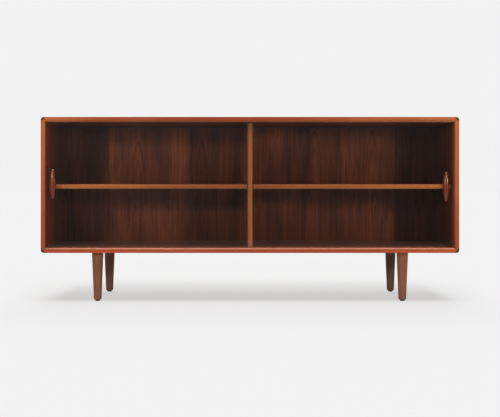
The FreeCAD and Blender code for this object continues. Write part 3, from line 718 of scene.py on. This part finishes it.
def turned(outline, steps):
    """A piece turned on a lathe: the outline, as (radius, height), is spun round an upright axis."""
    bpy.ops.object.select_all(action="DESELECT")
    first_radius, first_height = outline[0]
    bpy.ops.mesh.primitive_plane_add(size=0.001, location=(first_radius, 0, first_height))
    piece = bpy.context.object
    bpy.ops.object.mode_set(mode="EDIT")
    bpy.ops.mesh.select_mode(type="VERT")
    bpy.ops.mesh.select_all(action="SELECT")
    bpy.ops.mesh.merge(type="CENTER")
    for (radius, height), (last_radius, last_height) in zip(outline[1:], outline):
        step = (radius - last_radius, 0, height - last_height)
        bpy.ops.mesh.extrude_region_move(TRANSFORM_OT_translate={"value": step})
    bpy.ops.mesh.select_all(action="SELECT")
    bpy.ops.mesh.spin(steps=steps, angle=2 * math.pi, center=(0, 0, 0), axis=(0, 0, 1))
    bpy.ops.mesh.select_all(action="SELECT")
    bpy.ops.mesh.remove_doubles(threshold=SEAM_REACH)
    bpy.ops.mesh.normals_make_consistent(inside=False)
    settle(piece)
    return piece


PULL_TEAK = ((0.20, 0.029, 0.008, 1), (0.13, 0.018, 0.006, 1), (0.06, 0.010, 0.005, 1))
pull_wood = wood("teak_pull", *PULL_TEAK, (X, Y, Z), ring=0.003, depth=0.02, roughness=0.26,
                 specular=0.85, gloss_tint=(1.0, 0.62, 0.42, 1), coat=0.45)
pattern = turned(PULL_OUTLINE, PULL_STEPS)
bpy.ops.object.mode_set(mode="EDIT")
bpy.ops.mesh.select_all(action="SELECT")
bpy.ops.mesh.bisect(plane_co=(0, PULL_THICKNESS - PULL_WIDTH / 2, 0), plane_no=(0, 1, 0), use_fill=True,
                    clear_outer=True)
settle(pattern)
apply_modifier(pattern, "BEVEL", width=PULL_ARRIS, segments=2, limit_method="ANGLE",
               angle_limit=math.radians(50))
for side in ("left", "right"):
    low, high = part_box(f"{side}_pull")
    axis_place = ((low[X] + high[X]) / 2, low[Y] + PULL_WIDTH / 2, (low[Z] + high[Z]) / 2)
    pull = copy_of(pattern, f"{side}_turned_pull", axis_place)
    finish_piece(pull, pull_wood, f"{side}_door", smooth_angle=40)
    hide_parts(f"{side}_pull")
bpy.data.objects.remove(pattern)


# Legs
# Four round tapered legs, turned in solid teak. Each is screwed with a hanger bolt into a threaded
# insert in the bottom board, both of plated steel.

LEG_FOOT, LEG_TOP = (corner[Z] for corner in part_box("front_left_leg"))
LEG_TOP_RADIUS = 0.025
LEG_FOOT_RADIUS = 0.01675
LEG_TOP_CHAMFER = 0.001
LEG_FOOT_ROUNDING = 0.0035
LEG_STEPS = 56
FLAT_FOOT_RADIUS = LEG_FOOT_RADIUS - LEG_FOOT_ROUNDING
LEG_OUTLINE = ([(0, LEG_FOOT), (FLAT_FOOT_RADIUS, LEG_FOOT)]
               + arc((FLAT_FOOT_RADIUS, LEG_FOOT + LEG_FOOT_ROUNDING), LEG_FOOT_ROUNDING, -70, 0, 5)
               + [(LEG_TOP_RADIUS, LEG_TOP - LEG_TOP_CHAMFER), (LEG_TOP_RADIUS - LEG_TOP_CHAMFER, LEG_TOP),
                  (0, LEG_TOP)])
FRONT_LEG_TEAK = ((0.31, 0.115, 0.058, 1), (0.22, 0.080, 0.041, 1), (0.09, 0.034, 0.021, 1))
# The rear legs' teak is the front legs' teak darkened: painted shade under the case.
REAR_LEG_TEAK_SHADED = ((0.20, 0.095, 0.060, 1), (0.15, 0.072, 0.047, 1), (0.05, 0.026, 0.018, 1))


def leg_axis(leg):
    low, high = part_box(leg)
    return (low[X] + high[X]) / 2, (low[Y] + high[Y]) / 2, 0


pattern = turned(LEG_OUTLINE, LEG_STEPS)
for place, tones in (("front", FRONT_LEG_TEAK), ("rear", REAR_LEG_TEAK_SHADED)):
    leg_wood = wood(f"teak_{place}_leg", *tones, (X, Y, Z), ring=0.005, depth=0.03, taper=0.02,
                    wander=0.01)
    for side in ("left", "right"):
        leg = copy_of(pattern, f"{place}_{side}_turned_leg", leg_axis(f"{place}_{side}_leg"))
        finish_piece(leg, leg_wood, "case")
        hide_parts(f"{place}_{side}_leg")
bpy.data.objects.remove(pattern)
dress(metal("zinc_plated_steel", (0.55, 0.55, 0.53), 0.4), "leg_bolts", "leg_inserts")


# Glides
# Dark moulded plastic buttons, one under each leg. They narrow to a small flat foot and keep the
# wood off the floor.

GLIDE_RADIUS = 0.011
GLIDE_FOOT_RADIUS = 0.0065
GLIDE_FOOT_EDGE = 0.001
GLIDE_ROUND_START = GLIDE_FOOT_RADIUS + 0.0001
GLIDE_RIM = 0.0045
GLIDE_ARRIS = 0.0003
GLIDE_STEPS = 36
GLIDE_OUTLINE = ([(0, 0), (GLIDE_FOOT_RADIUS - GLIDE_FOOT_EDGE, 0), (GLIDE_FOOT_RADIUS, GLIDE_ARRIS)]
                 + arc((GLIDE_ROUND_START, GLIDE_RIM), GLIDE_RADIUS - GLIDE_ROUND_START, -75, 0, 7)
                 + [(GLIDE_RADIUS, LEG_FOOT - GLIDE_ARRIS), (GLIDE_RADIUS - GLIDE_ARRIS, LEG_FOOT),
                    (0, LEG_FOOT)])
PLASTIC = (0.022, 0.018, 0.015, 1)
WORN_PLASTIC = (0.045, 0.038, 0.032, 1)
SCUFFS = 700.0
SCUFF_SPAN = (0.2, 0.8)
SCUFF_ROUGHNESS = (0.35, 0.6)
SCUFF_STRENGTH = 0.2
SCUFF_DEPTH = 0.0002
glide_plastic, tree = new_finish("glide_plastic")
here = add_node(tree, "TexCoord").outputs["Object"]
scuffs = add_node(tree, "TexNoise", {"Vector": here, "Scale": SCUFFS, "Detail": 4.0}).outputs[0]
relief = add_node(tree, "Bump", {"Height": scuffs, "Strength": SCUFF_STRENGTH, "Distance": SCUFF_DEPTH})
show(tree, add_node(tree, "BsdfPrincipled", {
    "Base Color": mix_colour(tree, scuffs, PLASTIC, WORN_PLASTIC),
    "Roughness": fit_range(tree, scuffs, *SCUFF_SPAN, *SCUFF_ROUGHNESS), "Normal": relief.outputs[0]}))
pattern = turned(GLIDE_OUTLINE, GLIDE_STEPS)
for place in ("front", "rear"):
    for side in ("left", "right"):
        glide = copy_of(pattern, f"{place}_{side}_glide", leg_axis(f"{place}_{side}_leg"))
        finish_piece(glide, glide_plastic, "case", smooth_angle=40)
        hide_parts("glides")
bpy.data.objects.remove(pattern)


# Studio
# A pale paper floor that runs into a backdrop of the same tone, under four soft overhead lamps,
# with a softbox on each side in front of the case.

FLOOR_REACH = 60
BACKDROP = (0.888, 0.888, 0.888, 1)
PAPER = (0.86, 0.86, 0.86, 1)
FLAT_PAPER_SHARE = 0.65
bpy.ops.object.select_all(action="DESELECT")
bpy.ops.mesh.primitive_plane_add(size=FLOOR_REACH)
floor = bpy.context.object
floor.name = "floor"
paper, tree = new_finish("floor_paper")
camera_ray = add_node(tree, "LightPath").outputs["Is Camera Ray"]
lit = add_node(tree, "BsdfDiffuse", {"Color": PAPER})
flat = add_node(tree, "Emission", {"Color": BACKDROP, "Strength": 1.0})
part_flat = calculate(tree, "MULTIPLY", camera_ray, FLAT_PAPER_SHARE)
show(tree, add_node(tree, "MixShader", {0: part_flat, 1: lit.outputs[0], 2: flat.outputs[0]}))
floor.data.materials.append(paper)
floor.visible_glossy = False


def aim(azimuth, elevation):
    """The direction towards a lamp. Azimuth 0 is in front of the case and 90 on its right."""
    a, e = math.radians(azimuth), math.radians(elevation)
    return Vector((math.sin(a) * math.cos(e), -math.cos(a) * math.cos(e), math.sin(e)))


# What the glass and the polished wood mirror of the studio. Each glow has its start and its end, as
# the sideways or upward part of the direction, and its strength at both. A lamp's face goes by the
# angle from its middle.
WALL_GLOW = (0.0, 0.1, 0.06, 0.10)
LEFT_GLOW = (-0.02, -0.16, 0.0, 0.03)
CEILING_GLOW = (0.45, 0.85, 0.0, 1.6)
FLOOR_GLOW = (-0.09, -0.2, 0.0, 0.25)
NEAR_FLOOR_TOP = -0.078
NEAR_FLOOR_GLOW = 0.10
LAMP_FACES = (aim(-60, 66), aim(60, 66))
LAMP_FACE_GLOW = (math.cos(math.radians(14)), math.cos(math.radians(9)), 0.0, 8.0)
SPREAD_LIGHT = 0.15
world = bpy.data.worlds.new("studio")
bpy.context.scene.world = world
world.use_nodes = True
tree = world.node_tree
tree.nodes.clear()
path = add_node(tree, "LightPath").outputs
direction = add_node(tree, "TexCoord").outputs["Generated"]
towards = add_node(tree, "SeparateXYZ", {0: direction}).outputs
is_below = calculate(tree, "LESS_THAN", towards[Z], NEAR_FLOOR_TOP)
glows = [fit_range(tree, towards[X], *LEFT_GLOW), fit_range(tree, towards[Z], *CEILING_GLOW),
         calculate(tree, "MULTIPLY", is_below, NEAR_FLOOR_GLOW),
         fit_range(tree, towards[Z], *FLOOR_GLOW)]
for lamp_face in LAMP_FACES:
    nearness = add_node(tree, "VectorMath", {0: direction, 1: lamp_face}, operation="DOT_PRODUCT")
    glows.append(fit_range(tree, nearness.outputs["Value"], *LAMP_FACE_GLOW))
mirrored = fit_range(tree, towards[Z], *WALL_GLOW)
for glow in glows:
    mirrored = calculate(tree, "ADD", mirrored, glow)
spread_light = calculate(tree, "MULTIPLY", path["Is Diffuse Ray"], SPREAD_LIGHT)
strength = calculate(tree, "MAXIMUM", spread_light,
                     calculate(tree, "MULTIPLY", mirrored, path["Is Glossy Ray"]))
# Seen straight on or through the glass, there is only the even backdrop behind the case.
studio_light = add_node(tree, "Background", {"Color": (1, 1, 1, 1), "Strength": strength})
backdrop = add_node(tree, "Background", {"Color": BACKDROP, "Strength": 1.0})
straight = calculate(tree, "MAXIMUM", path["Is Camera Ray"], path["Is Transmission Ray"])
seen = add_node(tree, "MixShader", {0: straight, 1: studio_light.outputs[0], 2: backdrop.outputs[0]})
tree.links.new(seen.outputs[0], add_node(tree, "OutputWorld").inputs[0])

# Each overhead lamp by its azimuth, elevation, strength and width, with the angles in degrees.
OVERHEAD_LAMPS = {"left": (-22, 71, 0.56, 22), "right": (22, 71, 0.56, 22), "front": (0, 80, 0.88, 30),
                  "rear": (180, 68, 0.94, 32)}
for place, (azimuth, elevation, strength, width) in OVERHEAD_LAMPS.items():
    bpy.ops.object.select_all(action="DESELECT")
    bpy.ops.object.light_add(type="SUN")
    lamp = bpy.context.object
    lamp.name = f"overhead_lamp_{place}"
    lamp.rotation_euler = aim(azimuth, elevation).to_track_quat("Z", "Y").to_euler()
    lamp.data.energy = strength
    lamp.data.angle = math.radians(width)

SOFTBOX_WIDTH = 0.34
SOFTBOX_TILT = math.radians(78)


def softbox(name, place, power, seen_in_gloss, receivers):
    """A round lamp in front of the case."""
    bpy.ops.object.select_all(action="DESELECT")
    bpy.ops.object.light_add(type="AREA", location=place, rotation=(SOFTBOX_TILT, 0, 0))
    made = bpy.context.object
    made.name = name
    made.data.shape = "DISK"
    made.data.size = SOFTBOX_WIDTH
    made.data.energy = power
    made.visible_camera = False
    made.visible_glossy = seen_in_gloss
    made.light_linking.receiver_collection = receivers


# The two softboxes leave out the floor, so that it stays even, and the polished pulls, which have
# two lamps to themselves. Only there are the lamps' glints seen.
softbox_light = bpy.data.collections.new("lit_by_softboxes")
glint_light = bpy.data.collections.new("lit_by_glint_lamps")
softbox_light.objects.link(floor)
for side in ("left", "right"):
    for light_group in (softbox_light, glint_light):
        light_group.objects.link(bpy.data.objects[f"{side}_turned_pull"])
for left_out in softbox_light.collection_objects:
    left_out.light_linking.link_state = "EXCLUDE"
softbox("left_softbox", (-2.03, -2.6, 1.24), 40, False, softbox_light)
softbox("right_softbox", (2.03, -2.6, 1.00), 40, False, softbox_light)
softbox("left_glint_lamp", (-2.03, -2.6, 1.24), 30, True, glint_light)
softbox("right_glint_lamp", (2.90, -2.6, 1.12), 34, True, glint_light)

CAMERA_PLACE = (0, -3.439, 0.523)
SENSOR_WIDTH = 36
FOCAL_LENGTH = 54.23
FRAME_SHIFT = -0.0543
bpy.ops.object.camera_add(location=CAMERA_PLACE, rotation=(math.pi / 2, 0, 0))
camera = bpy.context.object
camera.data.sensor_width = SENSOR_WIDTH
camera.data.lens = FOCAL_LENGTH
camera.data.shift_y = FRAME_SHIFT
bpy.context.scene.camera = camera
bpy.context.scene.view_settings.view_transform = "Standard"
